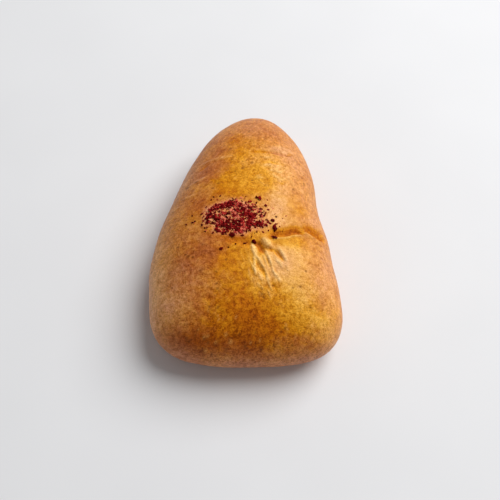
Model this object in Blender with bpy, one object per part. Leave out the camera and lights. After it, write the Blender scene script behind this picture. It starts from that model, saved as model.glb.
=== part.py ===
"""A spinach fatayer: a plump three-cornered filled bread, baked golden brown.

The loaf is one piece of dough with its filling sealed inside, so it is one solid.  It lies
on its flat baked base with the smooth side up.  +Z is up, +Y runs along the loaf to its
narrow nose, and the origin is at the middle of its footprint box, on the base.

The form is worked out in four steps, all in millimetres:
  1. a plan outline of three crowned sides, blended at three round corners, drawn in at a
     waist on the right and a little uneven all round, as hand-shaped dough is,
  2. a domed top, and a side that tucks under to the flat base, along every ray of the plan,
  3. a side crease, and a pinched pucker near the middle with grooves round it,
  4. stretch ridges that fan out in front of the pucker, and shallow drawn ridges above it.
"""

import math

import bmesh
import bpy
import numpy as np

MM = 0.001

# ---------------------------------------------------------------- sizes, mm and degrees
HEIGHT = 42.0  # base to the crown of the dome
GIRTH_Z = 13.5  # height of the widest line round the side
TUCK_DEPTH = 17.0  # depth that the under-curve would reach if the base didn't cut it off
TUCK_INSET = 11.0  # from the widest line in to the edge of the base, all round
BASE_ROUND = 0.9  # rounding where the side meets the flat base

# Each side of the plan: direction of its outward normal, distance from the hub, radius
# of its crown, and how far the crown's middle lies along the side.
FRONT = {"normal": -84.0, "reach": 57.4, "crown_r": 133.0, "slip": -1.3}
RIGHT = {"normal": 14.0, "reach": 36.3, "crown_r": 333.0, "slip": 2.1}
LEFT = {"normal": 170.5, "reach": 42.2, "crown_r": 164.0, "slip": -2.35}
BLEND_FRONT_RIGHT = 15.7  # width of the rounding at each corner
BLEND_NOSE = 54.6
BLEND_FRONT_LEFT = 16.9
HUB_X, HUB_Y = 1.43, -6.81  # where the three sides' normals are measured from

WAIST_DEPTH = 2.64  # how far the right side is drawn in, where, and over what length
WAIST_AT = 8.0
WAIST_WIDTH = 14.0

UNEVEN_WIDTH = 16.0  # hand shaping: swellings of the outline, by direction from the hub
UNEVEN = {28: 0.4, 60: 1.15, 125: -0.3, 160: -0.3, 181: 0.9, 204: 2.2, 232: 0.2, 260: 1.1, 291: 1.5,
          320: 0.3, 345: -1.35}

TOP_FULLNESS = 2.5  # exponent of the dome along its rays: 2 is an ellipse, more is fuller
TUCK_FULLNESS = 3.0
CROWN_ROUNDING = 0.5  # how far the level lines turn from triangles to ovals at the crown

# The side crease is two furrows that overlap, each from x, y to x, y, with its depth, how
# far its back and front walls reach, and the height of its puffed lips.
FURROWS = (
    (7.5, -17.6, 24.5, -11.3, 1.45, 2.3, 0.7, 0.48),
    (22.0, -10.0, 34.5, -11.0, 1.15, 2.3, 0.9, 0.10),
)
FURROW_SWAY, FURROW_WAVE = 0.2, 9.0  # how far a furrow sways, and over what length
FURROW_END = 4.0  # length over which a furrow fades out at each end

# Strokes are straight or gently bent ridges (height above 0) and grooves (below 0):
# middle x, middle y, direction in degrees, half length, half width, height, bend.
PUCKER = (
    (7.6, -19.8, -50.0, 2.9, 1.9, 1.25, 0.0),  # the pinched knob
    (5.0, -22.4, -55.0, 3.0, 1.3, -1.10, 0.0),  # groove on its left
    (13.2, -24.9, -44.0, 3.3, 0.90, -0.70, 0.0),  # groove in front of it
    (8.7, -22.7, -7.0, 2.0, 0.9, -0.45, 0.0),
    (-3.0, -20.3, -10.0, 6.8, 1.5, -0.45, 0.0),  # groove running left from it
    (-4.0, -23.0, -15.0, 6.0, 1.3, 0.22, 0.0),
)
FAN_LEAN = 1.5  # each ridge of the fan is steep on one side, this much wider on the other
FAN = (
    (2.2, -23.6, -69.0, 3.0, 0.95, 0.60, 0.0),
    (3.1, -30.0, -81.0, 3.9, 0.62, 0.42, 0.0),
    (5.3, -28.6, -55.0, 3.5, 0.62, 0.46, 0.0),
    (8.3, -25.4, -64.0, 2.6, 0.68, 0.46, 0.0),
    (10.0, -29.2, -66.0, 2.8, 0.62, 0.44, 0.0),
    (12.3, -33.8, -50.0, 3.1, 0.68, 0.48, 0.0),
    (13.4, -28.2, -52.0, 2.6, 0.68, 0.42, 0.0),
    (14.7, -24.3, -61.0, 3.7, 0.78, 0.46, 0.0),
    (4.7, -30.6, -62.0, 2.6, 0.75, -0.50, 0.0),
    (8.8, -29.0, -66.0, 3.0, 0.45, -0.22, 0.0),
)
DRAWN = (
    (-19.6, 25.5, 14.0, 6.0, 0.75, 0.32, 0.012),
    (-25.6, 13.3, 21.0, 4.4, 0.75, 0.32, -0.012),
    (-28.3, 4.9, 1.0, 3.4, 0.80, 0.26, 0.0),
    (11.0, 30.2, 3.0, 4.6, 0.80, -0.60, -0.012),
    (12.2, 33.3, 5.0, 4.6, 2.1, 0.50, 0.0),
    (6.4, 15.2, 14.0, 7.0, 1.2, 0.22, 0.012),
    (8.4, 22.0, 4.0, 7.0, 1.2, 0.22, 0.014),
    (24.9, -12.1, -12.0, 3.6, 0.75, 0.45, 0.0),  # the overlapped lip of the side crease
)

SEGMENTS = 80  # faces round the loaf
PLAN_STRETCH = 1.5  # length over width, which spaces the faces evenly round the side
RINGS_TOP, RINGS_SIDE = 32, 11  # rings over the dome, and below the widest line
FINE_ZONE = (-5.0, 33.0, -42.0, -7.5)  # x and y limits of the folds, where faces are halved


# ---------------------------------------------------------------- helpers
def smoothstep(low, high, value):
    t = np.clip((value - low) / (high - low), 0.0, 1.0)
    return t * t * (3.0 - 2.0 * t)


def blend_max(a, b, width):
    """The larger of two fields, with the edge between them rounded over a width."""
    return np.maximum(a, b) + np.maximum(width - np.abs(a - b), 0.0) ** 2 / (4 * width)


# ---------------------------------------------------------------- 1. plan outline
def side_field(x, y, side, waist=0.0):
    """Below zero inside this side of the plan, above zero outside it."""
    angle = math.radians(side["normal"])
    out = x * math.cos(angle) + y * math.sin(angle)
    along = -x * math.sin(angle) + y * math.cos(angle)
    field = out - side["reach"] + (along - side["slip"]) ** 2 / (2 * side["crown_r"])
    return field + waist * np.exp(-(((along - WAIST_AT) / WAIST_WIDTH) ** 2))


def outline_field(x, y):
    front = side_field(x, y, FRONT)
    right = side_field(x, y, RIGHT, WAIST_DEPTH)
    left = side_field(x, y, LEFT)
    return np.maximum.reduce(
        [
            blend_max(front, right, BLEND_FRONT_RIGHT),
            blend_max(right, left, BLEND_NOSE),
            blend_max(left, front, BLEND_FRONT_LEFT),
        ]
    )


def outline_radius(theta):
    """Distance from the hub to the outline along each direction, by bisection."""
    low, high = np.zeros_like(theta), np.full_like(theta, 140.0)
    c, s = np.cos(theta), np.sin(theta)
    for _ in range(40):
        middle = (low + high) / 2
        outside = outline_field(middle * c, middle * s) > 0
        high = np.where(outside, middle, high)
        low = np.where(outside, low, middle)
    radius = (low + high) / 2
    for direction, swelling in UNEVEN.items():
        turn = (np.degrees(theta) - direction + 180.0) % 360.0 - 180.0
        radius = radius + swelling * np.exp(-((turn / UNEVEN_WIDTH) ** 2))
    return radius


# ---------------------------------------------------------------- 2. dome and tuck
def loaf_point(theta, latitude):
    """A point of the smooth loaf.  Latitude is 90 degrees at the crown, 0 on the widest
    line and -90 at the middle of the base."""
    outline = outline_radius(theta)
    rise, fall = np.maximum(latitude, 0.0), np.maximum(-latitude, 0.0)

    # the dome: level lines turn from the outline's shape to an oval towards the crown
    share = np.cos(rise) ** (2 / TOP_FULLNESS)
    oval_x = (RIGHT["reach"] + LEFT["reach"]) / 2 * 1.05
    oval_y = (FRONT["reach"] + 62.0) / 2 * 0.95
    oval = 1 / np.hypot(np.cos(theta) / oval_x, np.sin(theta) / oval_y)
    dome = (outline + (oval - outline) * CROWN_ROUNDING * (1 - share)) * share

    # the tuck: the side curves in by the same inset all round, down to the base
    edge = math.asin((GIRTH_Z + BASE_ROUND) / TUCK_DEPTH)
    pull = 1 - np.cos(np.minimum(fall, edge)) ** (2 / TUCK_FULLNESS)
    pull_at_edge = 1 - math.cos(edge) ** (2 / TUCK_FULLNESS)
    tuck = outline - TUCK_INSET * pull / pull_at_edge
    tuck = tuck * np.minimum((math.pi / 2 - fall) / (math.pi / 2 - edge), 1.0)

    radius = np.where(latitude > 0, dome, tuck)
    x = HUB_X + radius * np.cos(theta)
    y = HUB_Y + radius * np.sin(theta)
    z = GIRTH_Z + (HEIGHT - GIRTH_Z) * np.sin(rise) - TUCK_DEPTH * np.sin(fall)
    # the base cuts the under-curve off flat, with a small rounding
    b = BASE_ROUND
    z = np.where(z < -b, 0.0, np.where(z < b, (z + b) ** 2 / (4 * b), z))
    return np.stack([x, y, z], axis=-1)


# ---------------------------------------------------------------- 3. and 4. folds
def furrow(x, y, ax, ay, bx, by, depth, back, front, lip):
    """A valley from a to b with a long back wall, a steep front one, and puffed lips."""
    length = math.hypot(bx - ax, by - ay)
    u = ((x - ax) * (bx - ax) + (y - ay) * (by - ay)) / length
    v = ((y - ay) * (bx - ax) - (x - ax) * (by - ay)) / length
    v = v - FURROW_SWAY * np.sin(2 * math.pi * (u - 10.8) / FURROW_WAVE)
    wall = np.where(v > 0, back, front)
    valley = -depth * np.exp(-((np.abs(v) / wall) ** 1.25))
    lips = lip * np.exp(-(((v + front + 0.7) / 0.7) ** 2))
    lips = lips + 0.4 * lip * np.exp(-(((v - back - 2.5) / 2.5) ** 2))
    ends = smoothstep(0, FURROW_END, u) * smoothstep(length, length - FURROW_END, u)
    return (valley + lips) * ends


def crease(x, y):
    return sum(furrow(x, y, *row) for row in FURROWS)


def stroke(x, y, mx, my, degrees, half_length, half_width, height, bend, lean=1.0):
    angle = math.radians(degrees)
    c, s = math.cos(angle), math.sin(angle)
    u = (x - mx) * c + (y - my) * s
    v = -(x - mx) * s + (y - my) * c + bend * u * u
    width = half_width * np.where(v > 0, lean, 1.0)
    width = width * (0.5 + 0.5 * np.exp(-((u / half_length) ** 2)))  # both ends taper
    return height * np.exp(-((u / half_length) ** 4) - (v / width) ** 2)


def fold_height(x, y):
    total = crease(x, y)
    for row in PUCKER + DRAWN:
        total = total + stroke(x, y, *row)
    for row in FAN:
        total = total + stroke(x, y, *row, lean=FAN_LEAN)
    return total


# ---------------------------------------------------------------- build
def clear_scene():
    for obj in list(bpy.data.objects):
        bpy.data.objects.remove(obj, do_unlink=True)


def crust_material():
    material = bpy.data.materials.new("crust")
    material.use_nodes = True
    shader = material.node_tree.nodes["Principled BSDF"]
    shader.inputs["Base Color"].default_value = (0.62, 0.26, 0.045, 1.0)
    shader.inputs["Roughness"].default_value = 0.45
    shader.inputs["Metallic"].default_value = 0.0
    material.diffuse_color = (0.62, 0.26, 0.045, 1.0)
    return material


def ring_latitude(number):
    """Latitude of a ring of the starting sphere, spaced for the dome and the tuck."""
    if number <= RINGS_TOP:
        return math.radians(90.0 - 90.0 * number / RINGS_TOP)
    return math.radians(-90.0 * ((number - RINGS_TOP) / RINGS_SIDE) ** 1.15)


def loaf_points(bm):
    """Where each point of the starting sphere lies on the smooth loaf."""
    rings = RINGS_TOP + RINGS_SIDE
    sphere = np.array([v.co for v in bm.verts])
    sphere /= np.linalg.norm(sphere, axis=1)[:, None]
    ring = np.arccos(np.clip(sphere[:, 2], -1, 1)) / math.pi * rings
    table = np.array([ring_latitude(i) for i in range(rings + 1)])
    latitude = np.interp(ring, np.arange(rings + 1), table)
    theta = np.arctan2(sphere[:, 1] * PLAN_STRETCH, sphere[:, 0])
    return loaf_point(theta, latitude)


def halve_fine_faces(bm):
    """Halves the faces that come to lie where the folds are."""
    points = loaf_points(bm)
    bm.verts.index_update()
    x0, x1, y0, y1 = FINE_ZONE
    edges = set()
    for face in bm.faces:
        x, y, z = points[[v.index for v in face.verts]].mean(axis=0)
        if x0 < x < x1 and y0 < y < y1 and z > GIRTH_Z:
            edges.update(face.edges)
    bmesh.ops.subdivide_edges(bm, edges=list(edges), cuts=1, use_grid_fill=True)


def build_loaf(collection):
    rings = RINGS_TOP + RINGS_SIDE
    bm = bmesh.new()
    bmesh.ops.create_uvsphere(bm, u_segments=SEGMENTS, v_segments=rings, radius=1.0)
    halve_fine_faces(bm)
    for vert, point in zip(bm.verts, loaf_points(bm)):
        vert.co = point

    # the middle of the base is one flat face
    flat = [f for f in bm.faces if all(abs(v.co.z) < 1e-9 for v in f.verts)]
    bmesh.ops.dissolve_faces(bm, faces=flat)
    bm.normal_update()

    points = np.array([v.co for v in bm.verts])
    normals = np.array([v.normal for v in bm.verts])
    height = fold_height(points[:, 0], points[:, 1])
    height = height * smoothstep(GIRTH_Z - 2.0, GIRTH_Z + 8.0, points[:, 2])
    points = points + normals * height[:, None]

    low, high = points.min(axis=0), points.max(axis=0)
    centre = (low + high) / 2
    for vert, point in zip(bm.verts, points):
        vert.co = (
            (point[0] - centre[0]) * MM,
            (point[1] - centre[1]) * MM,
            point[2] * MM,
        )
    bm.normal_update()

    mesh = bpy.data.meshes.new("fatayer")
    bm.to_mesh(mesh)
    bm.free()
    mesh.shade_smooth()
    mesh.materials.append(crust_material())
    loaf = bpy.data.objects.new("fatayer", mesh)
    collection.objects.link(loaf)
    return loaf


def main():
    clear_scene()
    collection = bpy.data.collections.new("spinach_fatayer")
    bpy.context.scene.collection.children.link(collection)
    build_loaf(collection)


main()
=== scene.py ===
"""Looks of the spinach fatayer: fine crust, folds, sumac flakes, and a plain studio."""

import math

import bmesh
import bpy
import numpy as np
from mathutils import Matrix, Vector
from mathutils.bvhtree import BVHTree


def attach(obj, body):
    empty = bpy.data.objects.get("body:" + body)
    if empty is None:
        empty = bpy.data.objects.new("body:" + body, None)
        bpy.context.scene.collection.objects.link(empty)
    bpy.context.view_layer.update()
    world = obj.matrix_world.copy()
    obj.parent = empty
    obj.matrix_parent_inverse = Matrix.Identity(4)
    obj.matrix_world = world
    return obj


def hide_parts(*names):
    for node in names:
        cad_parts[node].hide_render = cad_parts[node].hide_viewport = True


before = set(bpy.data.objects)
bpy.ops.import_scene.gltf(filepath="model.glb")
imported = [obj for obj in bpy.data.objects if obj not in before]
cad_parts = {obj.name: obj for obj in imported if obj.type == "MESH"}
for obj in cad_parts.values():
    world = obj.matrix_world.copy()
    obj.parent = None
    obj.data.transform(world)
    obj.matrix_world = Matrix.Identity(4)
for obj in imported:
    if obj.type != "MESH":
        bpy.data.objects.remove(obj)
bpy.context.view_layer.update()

MM = 0.001

# ---------------------------------------------------------------- the loaf's form, mm
# The same sizes and functions as the solid's, worked out here at a much finer spacing.
HEIGHT = 42.0
GIRTH_Z = 13.5
TUCK_DEPTH = 17.0
TUCK_INSET = 11.0
BASE_ROUND = 0.9
FRONT = {"normal": -84.0, "reach": 57.4, "crown_r": 133.0, "slip": -1.3}
RIGHT = {"normal": 14.0, "reach": 36.3, "crown_r": 333.0, "slip": 2.1}
LEFT = {"normal": 170.5, "reach": 42.2, "crown_r": 164.0, "slip": -2.35}
BLEND_FRONT_RIGHT = 15.7
BLEND_NOSE = 54.6
BLEND_FRONT_LEFT = 16.9
HUB_X, HUB_Y = 1.43, -6.81
WAIST_DEPTH = 2.64
WAIST_AT = 8.0
WAIST_WIDTH = 14.0
UNEVEN_WIDTH = 16.0
UNEVEN = {28: 0.4, 60: 1.15, 125: -0.3, 160: -0.3, 181: 0.9, 204: 2.2, 232: 0.2, 260: 1.1, 291: 1.5,
          320: 0.3, 345: -1.35}
TOP_FULLNESS = 2.5
TUCK_FULLNESS = 3.0
CROWN_ROUNDING = 0.5
PLAN_STRETCH = 1.5

# The side crease is two furrows that overlap, each from x, y to x, y, with its depth, how
# far its back and front walls reach, and the height of its puffed lips.
FURROWS = (
    (7.5, -17.6, 24.5, -11.3, 1.45, 2.3, 0.7, 0.48),
    (22.0, -10.0, 34.5, -11.0, 1.15, 2.3, 0.9, 0.10),
)
FURROW_SWAY, FURROW_WAVE = 0.2, 9.0  # how far a furrow sways, and over what length
FURROW_END = 4.0  # length over which a furrow fades out at each end

# middle x, middle y, direction in degrees, half length, half width, height, bend
PUCKER = (
    (7.6, -19.8, -50.0, 2.9, 1.9, 1.25, 0.0),
    (5.0, -22.4, -55.0, 3.0, 1.3, -1.10, 0.0),
    (13.2, -24.9, -44.0, 3.3, 0.90, -0.70, 0.0),
    (8.7, -22.7, -7.0, 2.0, 0.9, -0.45, 0.0),
    (-3.0, -20.3, -10.0, 6.8, 1.5, -0.45, 0.0),
    (-4.0, -23.0, -15.0, 6.0, 1.3, 0.22, 0.0),
)
FAN_LEAN = 1.5  # each ridge of the fan is steep on one side, this much wider on the other
FAN = (
    (2.2, -23.6, -69.0, 3.0, 0.95, 0.60, 0.0),
    (3.1, -30.0, -81.0, 3.9, 0.62, 0.42, 0.0),
    (5.3, -28.6, -55.0, 3.5, 0.62, 0.46, 0.0),
    (8.3, -25.4, -64.0, 2.6, 0.68, 0.46, 0.0),
    (10.0, -29.2, -66.0, 2.8, 0.62, 0.44, 0.0),
    (12.3, -33.8, -50.0, 3.1, 0.68, 0.48, 0.0),
    (13.4, -28.2, -52.0, 2.6, 0.68, 0.42, 0.0),
    (14.7, -24.3, -61.0, 3.7, 0.78, 0.46, 0.0),
    (4.7, -30.6, -62.0, 2.6, 0.75, -0.50, 0.0),
    (8.8, -29.0, -66.0, 3.0, 0.45, -0.22, 0.0),
)
DRAWN = (
    (-19.6, 25.5, 14.0, 6.0, 0.75, 0.32, 0.012),
    (-25.6, 13.3, 21.0, 4.4, 0.75, 0.32, -0.012),
    (-28.3, 4.9, 1.0, 3.4, 0.80, 0.26, 0.0),
    (11.0, 30.2, 3.0, 4.6, 0.80, -0.60, -0.012),
    (12.2, 33.3, 5.0, 4.6, 2.1, 0.50, 0.0),
    (6.4, 15.2, 14.0, 7.0, 1.2, 0.22, 0.012),
    (8.4, 22.0, 4.0, 7.0, 1.2, 0.22, 0.014),
    (24.9, -12.1, -12.0, 3.6, 0.75, 0.45, 0.0),
)
# finer strokes than the solid has: thin wrinkles in front of the fan, and drawn skin above
FINE = (
    (5.6, -34.7, -59.0, 1.9, 0.50, 0.22, 0.0),
    (9.8, -37.6, -65.0, 3.2, 0.55, 0.26, 0.0),
    (6.2, -38.9, -44.0, 1.8, 0.50, 0.20, 0.0),
    (10.1, -41.9, -65.0, 2.4, 0.50, 0.20, 0.0),
    (2.9, -32.1, -61.0, 3.4, 0.50, 0.22, 0.0),
    (13.9, -32.8, -47.0, 1.9, 0.50, 0.20, 0.0),
    (6.9, -33.0, -60.0, 2.4, 0.80, -0.45, 0.0),
    (7.0, -26.9, -62.0, 2.2, 0.50, 0.22, 0.0),
    (11.7, -26.6, -58.0, 2.0, 0.50, 0.20, 0.0),
    (16.6, -29.4, -58.0, 2.8, 0.70, 0.18, 0.0),
    (9.0, -34.6, -62.0, 2.4, 0.50, 0.24, 0.0),
    (1.0, -33.4, -72.0, 2.2, 0.50, 0.18, 0.0),
    (12.0, -38.6, -58.0, 2.2, 0.60, -0.30, 0.0),
    (11.4, -31.0, -60.0, 2.4, 0.55, -0.22, 0.0),
    (0.6, -27.0, -84.0, 3.0, 0.50, 0.16, 0.0),
    (6.2, 21.6, 9.0, 2.0, 0.70, 0.32, 0.0),
    (2.2, 14.8, 22.0, 2.0, 0.55, 0.24, 0.0),
    (3.2, 13.7, 12.0, 2.0, 0.55, 0.26, 0.0),
    (10.1, 18.6, -5.0, 2.8, 0.65, 0.20, 0.0),
    (10.7, 14.7, -28.0, 2.6, 0.60, 0.20, 0.0),
    (13.0, 15.1, -8.0, 2.5, 0.60, 0.20, 0.0),
    (16.5, 14.4, -37.0, 2.5, 0.60, 0.18, 0.0),
    (5.6, 26.3, 13.0, 2.5, 0.65, 0.30, 0.0),
    (2.4, 29.8, 3.0, 4.2, 0.75, -0.32, 0.0),
    (11.5, 18.0, -7.0, 1.3, 0.60, 0.22, 0.0),
    (4.8, 10.2, -25.0, 2.7, 0.55, 0.18, 0.0),
    (8.2, 19.4, 36.0, 1.7, 0.55, 0.20, 0.0),
    (-13.3, 26.2, 12.0, 5.0, 0.60, 0.20, 0.0),
    (-17.6, 11.6, -38.0, 2.7, 0.65, -0.22, 0.0),
    (-11.5, 10.6, -38.0, 2.0, 0.60, -0.18, 0.0),
    (15.7, 31.6, 51.0, 1.6, 0.60, -0.28, 0.0),
    (-34.0, 0.4, 15.0, 2.8, 0.65, 0.18, 0.0),
    (8.8, 23.5, -11.0, 2.4, 0.65, -0.22, 0.0),
    (12.0, 12.0, -12.0, 2.4, 0.60, -0.18, 0.0),
    (-23.2, 21.3, 37.0, 2.8, 0.80, -0.25, 0.0),
)


def smoothstep(low, high, value):
    t = np.clip((value - low) / (high - low), 0.0, 1.0)
    return t * t * (3.0 - 2.0 * t)


def blend_max(a, b, width):
    return np.maximum(a, b) + np.maximum(width - np.abs(a - b), 0.0) ** 2 / (4 * width)


def side_field(x, y, side, waist=0.0):
    angle = math.radians(side["normal"])
    out = x * math.cos(angle) + y * math.sin(angle)
    along = -x * math.sin(angle) + y * math.cos(angle)
    field = out - side["reach"] + (along - side["slip"]) ** 2 / (2 * side["crown_r"])
    return field + waist * np.exp(-(((along - WAIST_AT) / WAIST_WIDTH) ** 2))


def outline_field(x, y):
    front = side_field(x, y, FRONT)
    right = side_field(x, y, RIGHT, WAIST_DEPTH)
    left = side_field(x, y, LEFT)
    return np.maximum.reduce(
        [
            blend_max(front, right, BLEND_FRONT_RIGHT),
            blend_max(right, left, BLEND_NOSE),
            blend_max(left, front, BLEND_FRONT_LEFT),
        ]
    )


def outline_radius(theta):
    low, high = np.zeros_like(theta), np.full_like(theta, 140.0)
    c, s = np.cos(theta), np.sin(theta)
    for _ in range(40):
        middle = (low + high) / 2
        outside = outline_field(middle * c, middle * s) > 0
        high = np.where(outside, middle, high)
        low = np.where(outside, low, middle)
    radius = (low + high) / 2
    for direction, swelling in UNEVEN.items():
        turn = (np.degrees(theta) - direction + 180.0) % 360.0 - 180.0
        radius = radius + swelling * np.exp(-((turn / UNEVEN_WIDTH) ** 2))
    return radius


# a table of the outline, because the fine mesh asks for it a hundred thousand times
TABLE_THETA = np.linspace(-math.pi, math.pi, 2881)
TABLE_RADIUS = outline_radius(TABLE_THETA)


def loaf_point(theta, latitude):
    outline = np.interp(theta, TABLE_THETA, TABLE_RADIUS)
    rise, fall = np.maximum(latitude, 0.0), np.maximum(-latitude, 0.0)
    share = np.cos(rise) ** (2 / TOP_FULLNESS)
    oval_x = (RIGHT["reach"] + LEFT["reach"]) / 2 * 1.05
    oval_y = (FRONT["reach"] + 62.0) / 2 * 0.95
    oval = 1 / np.hypot(np.cos(theta) / oval_x, np.sin(theta) / oval_y)
    dome = (outline + (oval - outline) * CROWN_ROUNDING * (1 - share)) * share
    edge = math.asin((GIRTH_Z + BASE_ROUND) / TUCK_DEPTH)
    pull = 1 - np.cos(np.minimum(fall, edge)) ** (2 / TUCK_FULLNESS)
    pull_at_edge = 1 - math.cos(edge) ** (2 / TUCK_FULLNESS)
    tuck = outline - TUCK_INSET * pull / pull_at_edge
    radius = np.where(latitude > 0, dome, tuck)
    x = HUB_X + radius * np.cos(theta)
    y = HUB_Y + radius * np.sin(theta)
    z = GIRTH_Z + (HEIGHT - GIRTH_Z) * np.sin(rise) - TUCK_DEPTH * np.sin(fall)
    b = BASE_ROUND
    z = np.where(z < -b, 0.0, np.where(z < b, (z + b) ** 2 / (4 * b), z))
    return np.stack([x, y, z], axis=-1)


def furrow(x, y, ax, ay, bx, by, depth, back, front, lip):
    length = math.hypot(bx - ax, by - ay)
    u = ((x - ax) * (bx - ax) + (y - ay) * (by - ay)) / length
    v = ((y - ay) * (bx - ax) - (x - ax) * (by - ay)) / length
    v = v - FURROW_SWAY * np.sin(2 * math.pi * (u - 10.8) / FURROW_WAVE)
    wall = np.where(v > 0, back, front)
    valley = -depth * np.exp(-((np.abs(v) / wall) ** 1.25))
    lips = lip * np.exp(-(((v + front + 0.7) / 0.7) ** 2))
    lips = lips + 0.4 * lip * np.exp(-(((v - back - 2.5) / 2.5) ** 2))
    ends = smoothstep(0, FURROW_END, u) * smoothstep(length, length - FURROW_END, u)
    return (valley + lips) * ends


def crease(x, y):
    return sum(furrow(x, y, *row) for row in FURROWS)


def stroke(x, y, mx, my, degrees, half_length, half_width, height, bend, lean=1.0):
    angle = math.radians(degrees)
    c, s = math.cos(angle), math.sin(angle)
    u = (x - mx) * c + (y - my) * s
    v = -(x - mx) * s + (y - my) * c + bend * u * u
    width = half_width * np.where(v > 0, lean, 1.0)
    width = width * (0.5 + 0.5 * np.exp(-((u / half_length) ** 2)))  # both ends taper
    return height * np.exp(-((u / half_length) ** 4) - (v / width) ** 2)


# ---------------------------------------------------------------- noise in space
class SpaceNoise:
    """Gradient noise in three dimensions, about -1 to 1, the same on every run."""

    def __init__(self, seed):
        rng = np.random.default_rng(seed)
        self.order = np.tile(rng.permutation(256), 3)
        lean = rng.normal(size=(256, 3))
        self.lean = lean / np.linalg.norm(lean, axis=1)[:, None]

    def __call__(self, p):
        cell = np.floor(p).astype(np.int64)
        f = p - cell
        w = f * f * f * (f * (f * 6 - 15) + 10)
        cell &= 255
        total = np.zeros(len(p))
        o = self.order
        for dx in (0, 1):
            for dy in (0, 1):
                for dz in (0, 1):
                    n = o[
                        o[o[(cell[:, 0] + dx) & 255] + ((cell[:, 1] + dy) & 255)]
                        + ((cell[:, 2] + dz) & 255)
                    ]
                    dot = (self.lean[n] * (f - (dx, dy, dz))).sum(axis=1)
                    weight = (
                        (w[:, 0] if dx else 1 - w[:, 0])
                        * (w[:, 1] if dy else 1 - w[:, 1])
                        * (w[:, 2] if dz else 1 - w[:, 2])
                    )
                    total += weight * dot
        return total * 1.6


noise_a, noise_b, noise_c, noise_d = (SpaceNoise(s) for s in (11, 23, 37, 51))


# ---------------------------------------------------------------- small marks of baking
# dark specks and pits: x, y, radius
SPECKS = (
    (-1.3, 22.3, 0.60), (-5.3, 18.7, 0.65), (-5.5, 14.9, 0.35), (-0.6, 11.8, 0.45),
    (-18.0, 7.4, 0.50), (-15.7, 10.2, 0.50), (18.1, 10.2, 0.55), (23.2, 16.7, 0.45),
    (23.0, 22.1, 0.35), (-10.7, 24.3, 0.45), (2.6, 26.4, 0.40), (-25.5, -26.9, 0.65),
    (-23.4, -27.5, 0.50), (-26.8, -26.1, 0.45), (-19.6, -33.6, 0.50), (-12.2, -39.2, 0.50),
    (-11.7, -41.3, 0.55), (-12.8, -34.2, 0.40), (-9.1, -29.0, 0.45), (-19.7, -21.9, 0.50),
    (-30.6, -21.7, 0.50), (-10.8, -48.5, 0.60), (-14.4, -48.4, 0.60), (-31.1, -39.9, 0.40),
    (-15.4, -59.7, 0.60), (-16.2, -58.9, 0.40), (-14.0, -60.8, 0.60), (-23.1, -59.6, 0.60),
    (-16.1, -63.1, 0.50), (-12.2, -64.3, 0.50), (-21.8, -60.4, 0.50), (1.5, -61.1, 0.60),
    (24.9, -30.1, 0.50), (7.8, -43.3, 0.50), (6.9, -42.1, 0.50), (22.8, -37.2, 0.50),
    (19.7, -38.1, 0.40), (17.6, -53.8, 0.50), (16.1, -55.1, 0.45), (29.0, -54.3, 0.50),
    (27.6, -44.5, 0.40), (4.8, -51.0, 0.40), (11.3, -38.2, 0.50), (39.2, -20.5, 0.50),
    (-30.4, 11.7, 0.90), (-26.4, 13.2, 0.60), (-8.6, 17.0, 0.40), (-9.6, -60.2, 0.50),
    (-19.6, -58.6, 0.50), (-26.6, -57.4, 0.50), (-6.2, -62.6, 0.45), (8.4, -61.6, 0.45),
    (-12.0, 31.9, 0.50), (-4.1, 44.1, 0.50), (13.6, -59.8, 0.50), (21.4, -58.9, 0.45), (-1.2, -57.4, 0.40), (5.6, -56.4, 0.40),
)
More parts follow.
